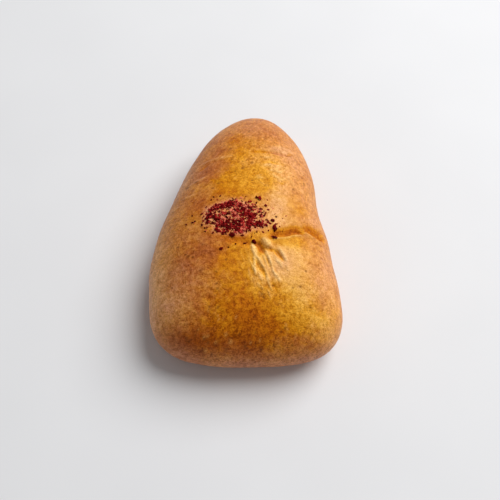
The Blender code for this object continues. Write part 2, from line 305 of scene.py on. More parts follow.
# puffed blisters with a pale top, partly paler crust and partly painted highlight: x, y, radius,
# height
BLISTERS = (
    (-15.7, -59.1, 0.70, 0.14), (-6.6, -57.9, 0.70, 0.12), (-4.6, -60.0, 0.90, 0.14),
    (3.8, -59.7, 0.50, 0.09), (-10.8, -60.7, 0.60, 0.08), (-14.8, -63.1, 0.60, 0.10),
    (-18.3, -56.6, 0.50, 0.08), (-14.1, -58.7, 0.60, 0.08), (-25.9, -35.2, 0.40, 0.08),
    (-20.0, -36.3, 0.60, 0.08), (-21.9, -46.8, 0.60, 0.08), (-12.4, -43.8, 0.50, 0.08),
    (-14.8, -49.8, 0.50, 0.08), (-10.6, -51.5, 0.45, 0.10), (-8.1, -52.2, 0.45, 0.10),
    (-10.2, -52.7, 0.40, 0.08), (-3.0, -51.8, 0.50, 0.08), (-28.1, -49.2, 0.45, 0.08),
    (-23.5, -23.7, 0.45, 0.08), (7.6, -58.6, 0.50, 0.10), (17.9, -52.5, 0.60, 0.10),
    (18.7, -53.9, 0.50, 0.08), (22.2, -56.0, 0.50, 0.08), (30.2, -55.5, 0.70, 0.10),
    (28.8, -44.7, 0.50, 0.10), (26.5, -43.6, 0.50, 0.08), (25.9, -37.7, 0.50, 0.08),
    (5.9, -41.7, 0.50, 0.08), (4.9, -38.1, 0.50, 0.08), (37.3, -54.1, 0.60, 0.08),
    (32.9, -46.0, 0.60, 0.08), (-8.2, 13.0, 0.50, 0.08), (3.8, 34.2, 0.50, 0.08),
    (0.5, 36.0, 0.45, 0.08), (-4.5, 22.6, 0.50, 0.08), (-1.1, 34.3, 0.60, 0.10),
    (2.4, 32.4, 0.55, 0.10), (3.7, 33.8, 0.55, 0.10), (6.1, 31.7, 0.55, 0.10),
    (7.0, 33.5, 0.55, 0.10), (9.9, 20.6, 0.55, 0.10), (12.1, 18.7, 0.55, 0.10),
    (11.3, 14.4, 0.50, 0.10), (9.1, 23.6, 0.50, 0.10), (-5.9, 22.8, 0.50, 0.10),
    (-5.2, 20.9, 0.55, 0.10), (-3.7, 20.5, 0.45, 0.08), (-4.7, 19.5, 0.50, 0.10),
    (4.8, 31.4, 0.45, 0.08), (-2.6, 29.9, 0.50, 0.08), (19.1, 40.0, 0.50, 0.08),
    (15.8, 33.2, 0.50, 0.08), (18.9, 28.1, 0.50, 0.08),
)


# ---------------------------------------------------------------- where the sumac lies
FLAKES_DENSE, FLAKES_LOOSE, FLAKES_STRAY, CRUMBS = 1250, 320, 70, 1500
# strokes that the sprinkling left: points x and y, half width, and how thick it lies
STROKES = (
    (((-18.4, -5.1), (-16.4, -4.3), (-14.4, -3.5), (-12.2, -2.6), (-8.8, -1.5)), 1.4, 1.0),
    (((-8.8, -1.5), (-5.0, -2.3), (-3.5, -4.1), (-1.5, -5.3), (0.4, -7.3), (0.6, -9.3)), 1.7, 1.0),
    (((-8.0, -4.3), (-5.0, -5.3)), 1.4, 0.8),
    (((-18.2, -8.3), (-16.5, -8.4), (-14.2, -8.6)), 1.7, 1.0),
    (((-18.6, -10.8), (-14.5, -10.8), (-12.0, -11.0)), 1.2, 0.50),
    (((-11.4, -7.0), (-10.4, -7.4)), 1.2, 0.9),
    (((-12.0, -10.4), (-5.7, -10.6), (-3.0, -10.3), (0.5, -10.1)), 1.4, 0.90),
    (((-13.6, -12.8), (-12.0, -12.7), (-7.5, -12.7), (-3.5, -12.7), (-0.6, -12.6)), 1.5, 1.0),
    (((0.8, -12.1), (3.2, -11.7), (6.0, -10.5)), 1.1, 0.85),
    (((2.9, -10.1), (5.2, -9.9), (6.9, -9.6)), 1.1, 0.6),
    (((2.8, -4.7), (4.2, -6.4)), 1.1, 0.7),
    (((-14.5, -14.9), (-9.7, -15.2)), 1.1, 0.5),
    (((-5.6, -15.1), (-2.5, -14.8)), 1.2, 0.75),
    (((-7.0, -7.7), (-1.5, -7.5)), 1.3, 0.6),
    (((-12.0, -8.0), (0.0, -6.0)), 4.8, 0.28),
    (((-4.5, -2.0), (-1.5, -3.4)), 1.3, 0.9),
    (((2.0, -9.0), (5.6, -10.9)), 1.6, 0.4),
)
PATCH_MIDDLE, PATCH_REACH = (-6.3, -8.0), (17.0, 10.0)
THIN = (
    (-16.0, -5.4, 1.9, 0.6), (-12.4, -4.9, 2.2, 0.6), (-9.6, -5.6, 0.9, 0.8),
    (-8.4, -7.4, 0.8, 0.9), (-5.0, -6.7, 1.1, 0.7), (-3.0, -8.6, 1.3, 0.7),
)
# larger flakes and those that lie apart: x, y, size
APART = (
    (2.2, 2.5, 1.7), (3.4, 2.1, 2.0), (6.3, -1.2, 1.2), (7.4, -3.2, 1.0), (11.2, -6.6, 0.9),
    (9.7, -8.8, 2.4), (8.5, -10.3, 1.2), (10.3, -11.6, 2.2), (10.9, -12.8, 2.3),
    (7.2, -11.6, 1.2), (11.0, -17.1, 2.4), (2.2, -19.9, 2.2), (-1.6, -20.7, 1.3),
    (-2.9, -17.2, 1.4), (-7.6, -17.3, 2.5), (-11.5, -16.7, 1.3), (-14.1, -15.4, 1.4),
    (-15.5, -16.4, 1.0), (-19.0, -15.6, 1.0), (-19.4, -13.9, 0.9), (-20.8, -12.2, 1.3),
    (-20.2, -10.5, 1.3), (-11.5, -23.9, 1.5), (-8.4, -23.1, 0.8), (-5.5, -21.4, 1.0),
    (1.0, -17.6, 1.2), (0.0, -14.6, 1.2), (3.1, -15.0, 0.9), (5.9, -15.0, 1.0),
    (-17.0, 2.4, 0.8), (-14.2, 2.5, 0.9), (-18.0, 0.8, 0.9), (-19.6, -3.0, 1.1),
    (-21.3, -6.5, 1.3), (-20.5, -8.1, 0.9), (-25.6, -6.6, 0.8), (-24.0, -10.1, 0.8),
    (-8.5, 1.4, 0.9), (-1.4, 0.2, 0.9), (2.3, -2.4, 0.9), (-2.5, -0.5, 0.9),
    (-7.3, 1.0, 0.9),
)


def lying(x, y, wider=0.0):
    """How thick the sumac lies at a place on the plan, 0 to 1."""
    thick = np.zeros_like(x)
    for line, half_width, amount in STROKES:
        for (ax, ay), (bx, by) in zip(line[:-1], line[1:]):
            dx, dy = bx - ax, by - ay
            t = np.clip(((x - ax) * dx + (y - ay) * dy) / (dx * dx + dy * dy), 0, 1)
            off = np.hypot(x - ax - t * dx, y - ay - t * dy) / (half_width + wider)
            thick = np.maximum(thick, amount * np.exp(-(off**4)))
    for mx, my, rx, ry in THIN:
        near = np.exp(-(((x - mx) / rx) ** 2) - ((y - my) / ry) ** 2)
        thick = thick * (1 - 0.70 * near)
    return thick


# ---------------------------------------------------------------- the fine mesh
NX, NY, NS = 152, 228, 66  # faces across, along, and down the side
PATCH, PATCH_ROUND = 0.74, 0.5  # how much of the plan the upper patch covers


def graded(count, middle, width, extra):
    """Lines from -1 to 1, closer together near the middle given."""
    t = np.linspace(-1, 1, 4001)
    density = 1 + extra * np.exp(-(((t - middle) / width) ** 2))
    steps = np.concatenate([[0], np.cumsum((density[1:] + density[:-1]) / 2)])
    steps = steps / steps[-1]
    return np.interp(np.linspace(0, 1, count + 1), steps, t)


def patch_polar(u, v):
    a = PATCH * u * np.sqrt(1 - PATCH_ROUND * v * v / 2)
    b = PATCH * v * np.sqrt(1 - PATCH_ROUND * u * u / 2)
    turn = np.arctan2(b, a)
    theta = np.arctan2(PLAN_STRETCH * np.sin(turn), np.cos(turn))
    return theta, np.hypot(a, b)


def loop_of(nx, ny):
    """Grid points round the edge of an nx by ny patch, anticlockwise seen from above."""
    south = [(i, 0) for i in range(nx)]
    east = [(nx, j) for j in range(ny)]
    north = [(i, ny) for i in range(nx, 0, -1)]
    west = [(0, j) for j in range(ny, 0, -1)]
    return np.array(south + east + north + west)


def fine_loaf():
    """Points and faces: an upper patch, rings down the side, and a coarser base."""
    us = graded(NX, 0.33, 0.42, 0.9)
    vs = graded(NY, -0.42, 0.42, 0.9)
    u, v = np.meshgrid(us, vs, indexing="ij")
    theta, rho = patch_polar(u.ravel(), v.ravel())
    latitude = np.arccos(np.clip(rho ** (TOP_FULLNESS / 2), 0, 1))
    points = [loaf_point(theta, latitude)]
    number = np.arange((NX + 1) * (NY + 1)).reshape(NX + 1, NY + 1)
    faces4 = [
        np.stack(
            [number[:-1, :-1], number[1:, :-1], number[1:, 1:], number[:-1, 1:]],
            axis=-1,
        ).reshape(-1, 4)
    ]
    faces3 = []

    loop = loop_of(NX, NY)
    ring = number[loop[:, 0], loop[:, 1]]
    around = len(ring)
    edge_theta, edge_latitude, edge_rho = theta[ring], latitude[ring], rho[ring]
    bottom = -math.asin((GIRTH_Z + BASE_ROUND) / TUCK_DEPTH)
    total = number.size
    for i in range(1, NS + 1):
        t = i / NS
        points.append(
            loaf_point(edge_theta, edge_latitude + (bottom - edge_latitude) * t)
        )
        below = np.arange(total, total + around)
        total += around
        faces4.append(np.stack([below, np.roll(below, -1), np.roll(ring, -1), ring], 1))
        ring = below
    points[-1][:, 2] = 0.0

    # the base: half as many points on each of two rings, then a coarse grid
    edge_radius = np.interp(edge_theta, TABLE_THETA, TABLE_RADIUS) - TUCK_INSET

    def base_points(thetas, radii, inner, f):
        r = radii * (1 + f * (inner * 0.95 - 1))
        return np.stack(
            [HUB_X + r * np.cos(thetas), HUB_Y + r * np.sin(thetas), 0 * r], axis=-1
        )

    for step, f in ((2, 0.35), (4, 0.7)):
        points.append(
            base_points(edge_theta[::step], edge_radius[::step], edge_rho[::step], f)
        )
        inner = np.arange(total, total + around // step)
        total += around // step
        o0, o1, o2 = ring[0::2], ring[1::2], np.roll(ring[0::2], -1)
        i0, i1 = inner, np.roll(inner, -1)
        for corners in ((o1, o0, i0), (o2, o1, i1), (i1, o1, i0)):
            faces3.append(np.stack(corners, axis=1))
        ring = inner
    gx, gy = NX // 4, NY // 4
    gu, gv = np.meshgrid(us[::4], vs[::4], indexing="ij")
    gt, gr = patch_polar(gu.ravel(), gv.ravel())
    radii = np.interp(gt, TABLE_THETA, TABLE_RADIUS) - TUCK_INSET
    points.append(base_points(gt, radii, gr, 1.0))
    # inside the grid the plan share is the patch's own
    r = radii * gr * 0.95
    points[-1][:, 0] = HUB_X + r * np.cos(gt)
    points[-1][:, 1] = HUB_Y + r * np.sin(gt)
    number = total + np.arange((gx + 1) * (gy + 1)).reshape(gx + 1, gy + 1)
    total += number.size
    loop = loop_of(gx, gy)
    inner = number[loop[:, 0], loop[:, 1]]
    faces4.append(np.stack([inner, np.roll(inner, -1), np.roll(ring, -1), ring], 1))
    faces4.append(
        np.stack(
            [number[:-1, :-1], number[:-1, 1:], number[1:, 1:], number[1:, :-1]],
            axis=-1,
        ).reshape(-1, 4)
    )
    return np.concatenate(points), np.concatenate(faces4), np.concatenate(faces3)


def point_normals(points, faces4, faces3):
    total = np.zeros_like(points)
    a, b, c, d = (points[faces4[:, k]] for k in range(4))
    n4 = np.cross(c - a, d - b)
    for k in range(4):
        np.add.at(total, faces4[:, k], n4)
    a, b, c = (points[faces3[:, k]] for k in range(3))
    n3 = np.cross(b - a, c - a)
    for k in range(3):
        np.add.at(total, faces3[:, k], n3)
    return total / np.maximum(np.linalg.norm(total, axis=1), 1e-12)[:, None]


points, faces4, faces3 = fine_loaf()
normals = point_normals(points, faces4, faces3)
on_base = points[:, 2] <= 1e-9
upper = smoothstep(GIRTH_Z - 2.0, GIRTH_Z + 8.0, points[:, 2])
off_base = smoothstep(0.3, 5.0, points[:, 2])

# folds, each kept as a mask too, for the crust's colour
x, y = points[:, 0], points[:, 1]
crease_height = crease(x, y)
pucker_height = sum(stroke(x, y, *row) for row in PUCKER)
fan_height = sum(stroke(x, y, *row, lean=FAN_LEAN) for row in FAN)
drawn_height = sum(stroke(x, y, *row) for row in DRAWN)
fine_height = sum(stroke(x, y, *row) for row in FINE)
uneven_fold = 1 + 0.45 * noise_b(points / 2.1)
fan_height, fine_height = fan_height * uneven_fold, fine_height * uneven_fold
fold = (crease_height + pucker_height + fan_height + drawn_height + fine_height) * upper
# silky skin: thin streaks along the fan, round its folds
angle = math.radians(-62.0)
u = x * math.cos(angle) + y * math.sin(angle)
v = -x * math.sin(angle) + y * math.cos(angle)
silk = noise_a(np.stack([u / 4.5, v / 0.85, 0 * u], 1))
silk = silk * np.exp(-(((x - 9.0) / 8.5) ** 2) - ((y + 29.5) / 8.5) ** 2) * upper
points = points + normals * (fold + 0.14 * silk)[:, None]

# dough that rose unevenly: broad, very low swellings
broad = noise_a(points / 26.0) * 0.35 + noise_b(points / 13.0) * 0.16
points = points + normals * (broad * off_base)[:, None]
normals = point_normals(points, faces4, faces3)

# skin: a fine crepe of short wrinkles over a pebbly grain, like orange peel
warp = np.stack([noise_c(points / 5.0), noise_d(points / 5.0), noise_a(points / 5.0)], 1)
crepe = 1 - 2 * np.abs(noise_b(points / (2.6, 2.0, 2.3) + 0.7 * warp))
pebbles = noise_c(points / 1.9 + 0.4 * warp)
grain = noise_d(points / 1.15)
# skin that shrank in fine waves, mostly right of the crown and low on the right
angle = math.radians(-14.0)
u = points[:, 0] * math.cos(angle) + points[:, 1] * math.sin(angle)
v = -points[:, 0] * math.sin(angle) + points[:, 1] * math.cos(angle)
waves = np.stack([u / 4.2, v / 1.25, points[:, 2] / 3.0], 1) + 0.55 * warp
waves = 1 - 2.2 * np.abs(noise_d(waves))
shrunk = np.zeros(len(points))
for mx, my, reach_x, reach_y, amount in (
    (10.0, 18.0, 11.0, 9.0, 1.0),
    (12.0, 4.0, 8.0, 8.0, 0.35),
    (26.0, -47.0, 9.0, 6.0, 0.6),
    (-15.0, -52.0, 12.0, 5.0, 0.5),
    (6.0, -37.0, 8.0, 6.0, 0.5),
):
    near = ((points[:, 0] - mx) / reach_x) ** 2 + ((points[:, 1] - my) / reach_y) ** 2
    shrunk = np.maximum(shrunk, amount * np.exp(-near))
points = points + normals * (0.12 * waves * shrunk * off_base)[:, None]

# pits and blisters
x, y = points[:, 0], points[:, 1]
pale, dark = np.zeros(len(points)), np.zeros(len(points))
for mx, my, size in SPECKS:
    near = np.exp(-((x - mx) ** 2 + (y - my) ** 2) / size**2) * off_base
    dark = np.maximum(dark, near)
# the blisters' pale tops: partly paler crust, partly painted highlight
for mx, my, size, height in BLISTERS:
    near = np.exp(-((x - mx) ** 2 + (y - my) ** 2) / (0.85 * size) ** 2) * off_base
    pale = np.maximum(pale, near)
    points = points + normals * (height * near)[:, None]
points = points - normals * (0.12 * dark)[:, None]

strength = 0.75 + 0.5 * smoothstep(-0.4, 0.4, noise_a(points / 9.0 + 7.7))
stretched = np.clip(np.maximum(fan_height, pucker_height) / 0.4, 0, 1) * upper
skin = strength * (1 - 0.6 * stretched) * (0.045 * crepe + 0.052 * pebbles + 0.050 * grain)
points = points + normals * (skin * off_base)[:, None]

# the base lies flat, with shallow air pockets inside its edge
x, y = points[:, 0], points[:, 1]
radius = np.hypot(x - HUB_X, y - HUB_Y)
base_radius = (
    np.interp(np.arctan2(y - HUB_Y, x - HUB_X), TABLE_THETA, TABLE_RADIUS) - TUCK_INSET
)
inside = smoothstep(0.985, 0.90, radius / base_radius)
pocket = np.maximum(noise_a(points / 7.0) + 0.4 * noise_b(points / 2.5) - 0.12, 0) * 0.7
points[:, 2] = np.where(on_base, pocket * inside, points[:, 2])

low, high = points.min(axis=0), points.max(axis=0)
points[:, :2] -= (low[:2] + high[:2]) / 2

mesh = bpy.data.meshes.new("crust")
mesh.from_pydata(
    (points * MM).tolist(), [], faces4.tolist() + faces3.tolist(), shade_flat=False
)
mesh.update()
crust = bpy.data.objects.new("crust", mesh)
bpy.context.scene.collection.objects.link(crust)


def store(name, values):
    layer = mesh.attributes.new(name, "FLOAT", "POINT")
    layer.data.foreach_set("value", np.asarray(values, dtype=np.float32))


# colour zones: middle x and y and reach in x and y of each zone, mm,
# how much darker (+) or paler (-) it is, and how dusty (+) or glossy gold (-); some zones paint
# light, as marked
BAKE_EVEN, DUST_AND_SHEEN_EVEN = 0.54, 0.36
SIDE_DUST_AND_SHEEN = 0.62
BAKE_BASE, BLOOM_BASE = 0.80, 0.55
ZONES = {
    "amber_low_middle": (2, -51, 17, 11, 0.24, -0.60),
    "shoulder_left": (-19, -60.8, 9, 4.5, 0.56, -0.26),
    "shoulder_middle": (0, -60.5, 10, 4.5, 0.36, 0.0),
    "gold_low_front": (-3, -56.5, 5, 2.6, -0.12, -0.20),
    "shoulder_right": (25, -58, 11, 5, 0.20, 0.0),
    "shoulder_corner": (-28, -57, 6, 5, 0.13, 0.05),
    # these three low side zones: partly paler side crust, partly painted whitish reflection
    "low_side_left": (-24, -64.5, 8, 3.5, -0.06, 0.36),
    "low_side": (3, -66, 12, 2.5, -0.04, 0.25),
    "low_side_right": (30, -62, 7, 3, -0.07, 0.20),
    "low_left_of_middle": (-18.5, -44, 6, 6, 0.13, 0.08),
    "low_left_front": (-17, -54, 5, 3.5, 0.12, 0.12),
    "dusky_by_sumac": (-18, -26, 9, 7, 0.40, 0.08),
    "dusky_band": (-26, -16, 8, 4, 0.16, 0.0),
    "dusky_left": (-27, -34, 7, 8, 0.10, 0.28),
    "upper_left": (-21, 17, 8, 9, 0.24, 0.30),
    # partly paler rim crust, partly painted whitish reflection
    "upper_left_edge": (-31, 18, 5, 8, -0.20, 0.40),
    "upper_left_nose": (-19, 33, 8, 9, 0.18, 0.10),
    "left_of_sumac": (-24, -1, 7, 7, 0.30, 0.0),
    # painted shade: darker and more saturated in the hollow below the sumac
    "below_sumac": (-7, -17.7, 7, 2.4, 0.38, -0.25),
    "by_knob": (3, -17, 3, 2.5, -0.22, -0.20),
    # painted highlight: paler and whiter where the key light's sheen lies
    "right_of_sumac": (12, 1, 7, 12, -0.48, 0.38),
    "by_sumac": (11, -8, 3.5, 4, -0.20, 0.05),
    "far_right_of_sumac": (17, 2, 4, 6, 0.12, -0.10),
    "upper_streaks": (7, 22, 8, 7, -0.25, 0.0),
    # painted highlight: paler and whiter where the key light's sheen lies
    "right_of_fold": (17, -27.5, 8, 9, -0.68, 0.21),
    "right_below_crease": (21, -21, 6, 3, -0.16, -0.15),
    "pale_by_fan": (16.5, -27, 3.5, 4, -0.14, 0.20),
    "pale_in_fan": (7.5, -30, 3, 3.5, -0.48, 0.10),
    "low_right": (22.5, -39.5, 10, 8, -0.44, -0.10),
    "low_right_far": (31.5, -42, 5, 4.5, 0.34, -0.05),
    "right_corner": (37, -48, 8, 9, -0.36, 0.0),
    "gold_corner": (33, -47, 4, 4, 0.0, -0.25),
    # partly paler rim crust, partly painted whitish reflection
    "left_rim": (-40, -33, 6, 22, -0.49, 0.41),
    "upper_middle": (-6, 27, 9, 9, -0.08, -0.30),
    "nose_middle": (-2, 38, 5, 4, -0.14, 0.0),
    "nose_streak": (-9, 38, 4, 4, 0.22, -0.30),
    "above_sumac": (-6, 11, 11, 6.5, -0.13, -0.98),
    "above_sumac_left": (-11, 5.5, 4, 3, 0.18, -0.15),
    "pale_upper_left": (-13, 14, 4, 3, -0.06, 0.0),
    "pale_left": (-22, 8.5, 4, 3.5, -0.18, 0.0),
    "gold_upper": (4, 12, 6, 7, 0.0, -0.45),
    "middle": (-2, -28, 8, 8, -0.02, -0.80),
    # painted highlight: paler and whiter where the key light's sheen lies
    "right_edge": (35, -27, 7, 15, -0.25, 0.40),
    # partly paler rim crust, partly painted whitish reflection
    "low_left": (-31, -48, 8, 8, -0.20, 0.46),
    "gold_by_crease": (22, 0, 4, 4, 0.05, -0.30),
    # painted shade: the crease's furrow more saturated amber
    "along_crease": (16, -17, 7, 2.6, 0.04, -1.0),
    "crease_end": (29, -10, 5, 3, 0.10, -0.35),
    # painted highlight: paler and whiter where the key light's sheen lies
    "right_of_waist": (28, -4, 4, 5, -0.20, 0.50),
    # painted highlight: paler and whiter where the key light's sheen lies
    "upper_right_edge": (26, 12, 7, 14, -0.12, 0.17),
    "gold_low_right": (23, -48.5, 8, 6, -0.23, -0.34),
    "nose_tip": (0, 48, 14, 10, 0.06, 0.28),
    # painted highlight: paler and whiter where the key light's sheen lies
    "nose_right": (18, 28, 7, 13, -0.21, 0.36),
    "wrinkles": (5.5, -30, 6, 7, -0.50, 0.05),
    "front_of_fan": (13, -37.5, 3.5, 3, 0.20, -0.20),
    "amber_right_of_middle": (16, -44, 5, 4, 0.14, 0.0),
    "low_front_of_fan": (5, -40, 5, 3.5, -0.14, 0.0),
    "dark_below_fan": (-1, -40, 3, 8, 0.15, 0.0),
    "gold_left_of_fan": (-7.5, -40, 4, 4, -0.12, 0.0),
    "dark_low_middle": (1.5, -52, 7.5, 3.2, 0.17, 0.0),
    "under_bulge": (10, 32, 6, 3, -0.10, 0.35),
    "above_crease": (16, -8, 8, 3, -0.16, 0.05),
}
x, y, z = points.T
# this tone holds the browning, and also painted shade in grooves, lines and hollows and painted
# highlights on crests, knob, streaks and the right side
bake_light_and_shade = BAKE_EVEN - 0.06 * smoothstep(24.0, 14.0, z)
# dustier and whiter low on the sides: partly paler side crust, partly painted whitish reflection
dust_and_sheen = DUST_AND_SHEEN_EVEN + SIDE_DUST_AND_SHEEN * smoothstep(26.0, 12.0, z)
for mx, my, reach_x, reach_y, darker, dustier in ZONES.values():
    near = np.exp(-(((x - mx) / reach_x) ** 2) - ((y - my) / reach_y) ** 2)
    near = near * smoothstep(2.0, 16.0, z)
    bake_light_and_shade += darker * near
    dust_and_sheen += dustier * near
under = smoothstep(2.2, 0.6, z)
bake_light_and_shade += (BAKE_BASE - bake_light_and_shade) * under
dust_and_sheen += (BLOOM_BASE - dust_and_sheen) * under

# crests, the knob and silky streaks turn paler and cream below: partly stretched skin, partly
# painted highlight
raised = fan_height + fine_height + 0.7 * np.maximum(crease_height, 0)
crest_highlight = np.clip(raised / 0.46, 0, 1) ** 1.5 * upper
# drawn ridges paler and whiter: painted highlight; the drawn lines darker: painted shade
drawn_highlight = np.clip(drawn_height / 0.40, 0, 1) * upper
line = np.clip(-drawn_height / 0.50, 0, 1) * upper
knob_highlight = np.clip(pucker_height / 1.2, 0, 1) ** 2 * upper
sunk = crease_height + pucker_height + fan_height + fine_height
# painted shade: grooves, furrows and hollows turn darker and more saturated amber
groove_shade = np.clip(-sunk / 0.7, 0, 1) * upper
# painted highlight: paler on the crests of the fine shrunk waves
bake_light_and_shade += groove_shade * 0.95 * (0.80 - bake_light_and_shade) - 0.24 * crest_highlight - 0.34 * knob_highlight - 0.16 * waves * shrunk
bake_light_and_shade += 0.34 * line - 0.25 * drawn_highlight
dust_and_sheen += 0.10 * crest_highlight + 0.20 * drawn_highlight - 1.2 * groove_shade
# painted highlight: paler and cream along the silky streaks
bake_light_and_shade -= 0.42 * silk
cream_highlight = np.clip(0.60 * crest_highlight + 0.40 * knob_highlight + 0.50 * np.maximum(silk, 0), 0, 1)
# painted light and shade on the grain: raised relief paler, pits darker
relief = np.clip(0.49 + 0.38 * pebbles + 0.34 * grain + 0.20 * crepe, 0, 1)
relief += (0.5 - relief) * under  # the base's points are too far apart to carry it
store("bake_light_and_shade", bake_light_and_shade)
store("dust_and_sheen", dust_and_sheen)
store("relief", relief)
coarse = np.ones(len(points))
for mx, my, reach_x, reach_y, more in (
    (0, -60, 30, 8, 1.0),
    (0, -46, 16, 9, 0.50),
    (-22, -35, 14, 14, 0.25),
    (16, -2, 10, 13, -0.35),
    (9, -27, 9, 9, -0.40),
    (20, -27, 8, 7, -0.25),
    (-20, 17, 10, 10, -0.20),
    (0, 25, 16, 14, 0.28),
):
    coarse += more * np.exp(-(((x - mx) / reach_x) ** 2) - ((y - my) / reach_y) ** 2)
store("coarse", coarse)
store("cream_highlight", cream_highlight)
store("pale", pale)
store("dark", dark)
store("underside", under)
store("stain", lying(x, y, 1.2) * upper)

# ---------------------------------------------------------------- materials
class Nodes:
    """Short names for making a node material."""

    def __init__(self, name):
        self.material = bpy.data.materials.new(name)
        self.material.use_nodes = True
        self.tree = self.material.node_tree
        self.shader = self.tree.nodes["Principled BSDF"]
        self.place = self.add("ShaderNodeTexCoord").outputs["Object"]

    def add(self, kind, **settings):
        node = self.tree.nodes.new(kind)
        for key, value in settings.items():
            setattr(node, key, value)
        return node

    def link(self, source, target):
        if isinstance(source, bpy.types.NodeSocket):
            self.tree.links.new(source, target)
        else:
            target.default_value = source

    def noise(self, size_mm, detail=3.0, roughness=0.5, distortion=0.0, stretch=None):
        """Noise whose features are about size_mm across, 0 to 1."""
        node = self.add("ShaderNodeTexNoise")
        node.inputs["Scale"].default_value = 1000.0 / size_mm
        node.inputs["Detail"].default_value = detail
        node.inputs["Roughness"].default_value = roughness
        node.inputs["Distortion"].default_value = distortion
        if stretch:
            mapping = self.add("ShaderNodeMapping")
            mapping.inputs["Scale"].default_value = stretch
            self.link(self.place, mapping.inputs["Vector"])
            self.link(mapping.outputs["Vector"], node.inputs["Vector"])
        else:
            self.link(self.place, node.inputs["Vector"])
        return node.outputs["Fac"]

    def math(self, operation, a, b=None, clamp=False):
        node = self.add("ShaderNodeMath", operation=operation, use_clamp=clamp)
        self.link(a, node.inputs[0])
        if b is not None:
            self.link(b, node.inputs[1])
        return node.outputs[0]

    def plus(self, base, value, factor):
        """base + value * factor."""
        node = self.add("ShaderNodeMath", operation="MULTIPLY_ADD")
        self.link(value, node.inputs[0])
        self.link(factor, node.inputs[1])
        self.link(base, node.inputs[2])
        return node.outputs[0]

    def spots(self, cell_mm, radius_mm, share, shift=0.0):
        """Round soft spots, one in a share of the cells, 0 to 1."""
        shifted = self.add("ShaderNodeVectorMath", operation="ADD")
        self.link(self.place, shifted.inputs[0])
        shifted.inputs[1].default_value = (shift, shift, shift)
        cells = self.add("ShaderNodeTexVoronoi", voronoi_dimensions="3D")
        cells.inputs["Scale"].default_value = 1000.0 / cell_mm
        self.link(shifted.outputs[0], cells.inputs["Vector"])
        r = radius_mm / cell_mm
        spot = self.remap(cells.outputs["Distance"], r, r * 0.35)
        colours = self.add("ShaderNodeSeparateColor")
        self.link(cells.outputs["Color"], colours.inputs[0])
        chosen = self.math("LESS_THAN", colours.outputs[0], share)
        varied = self.plus(0.45, colours.outputs[1], 0.55)
        return self.math("MULTIPLY", self.math("MULTIPLY", spot, chosen), varied)

    def remap(self, value, low, high, to_low=0.0, to_high=1.0):
        node = self.add("ShaderNodeMapRange", interpolation_type="SMOOTHSTEP")
        self.link(value, node.inputs["Value"])
        node.inputs["From Min"].default_value = low
        node.inputs["From Max"].default_value = high
        node.inputs["To Min"].default_value = to_low
        node.inputs["To Max"].default_value = to_high
        return node.outputs["Result"]

    def mix(self, factor, a, b, blend="MIX"):
        node = self.add("ShaderNodeMix", data_type="RGBA", blend_type=blend)
        self.link(factor, node.inputs["Factor"])
        self.link(a, node.inputs[6])
        self.link(b, node.inputs[7])
        return node.outputs[2]

    def mask(self, name):
        return self.add("ShaderNodeAttribute", attribute_name=name).outputs["Fac"]

    def ramp(self, value, stops):
        node = self.add("ShaderNodeValToRGB")
        elements = node.color_ramp.elements
        while len(elements) < len(stops):
            elements.new(0.5)
        for element, (position, colour) in zip(elements, stops):
            element.position = position
            element.color = (*colour, 1.0)
        self.link(value, node.inputs["Fac"])
        return node.outputs["Color"]

    def bump(self, height, distance_mm, strength=1.0, normal=None):
        node = self.add("ShaderNodeBump")
        node.inputs["Strength"].default_value = strength
        node.inputs["Distance"].default_value = distance_mm * MM
        self.link(height, node.inputs["Height"])
        if normal is not None:
            self.link(normal, node.inputs["Normal"])
        return node.outputs["Normal"]


# crust colours from palest to brownest, first glossy, then dusty and whitened; the dusty set serves
# for real dust and for painted sheen and whitish reflection
GLOSSY = [
    (0.00, (0.840, 0.400, 0.055)),
    (0.25, (0.750, 0.311, 0.021)),
    (0.50, (0.638, 0.222, 0.006)),
    (0.75, (0.515, 0.134, 0.003)),
    (1.00, (0.375, 0.074, 0.003)),
]
DUSTY_AND_SHEENED = [
    (0.00, (0.810, 0.392, 0.176)),
    (0.25, (0.700, 0.301, 0.124)),
    (0.50, (0.575, 0.222, 0.093)),
    (0.75, (0.465, 0.150, 0.060)),
    (1.00, (0.345, 0.095, 0.040)),
]


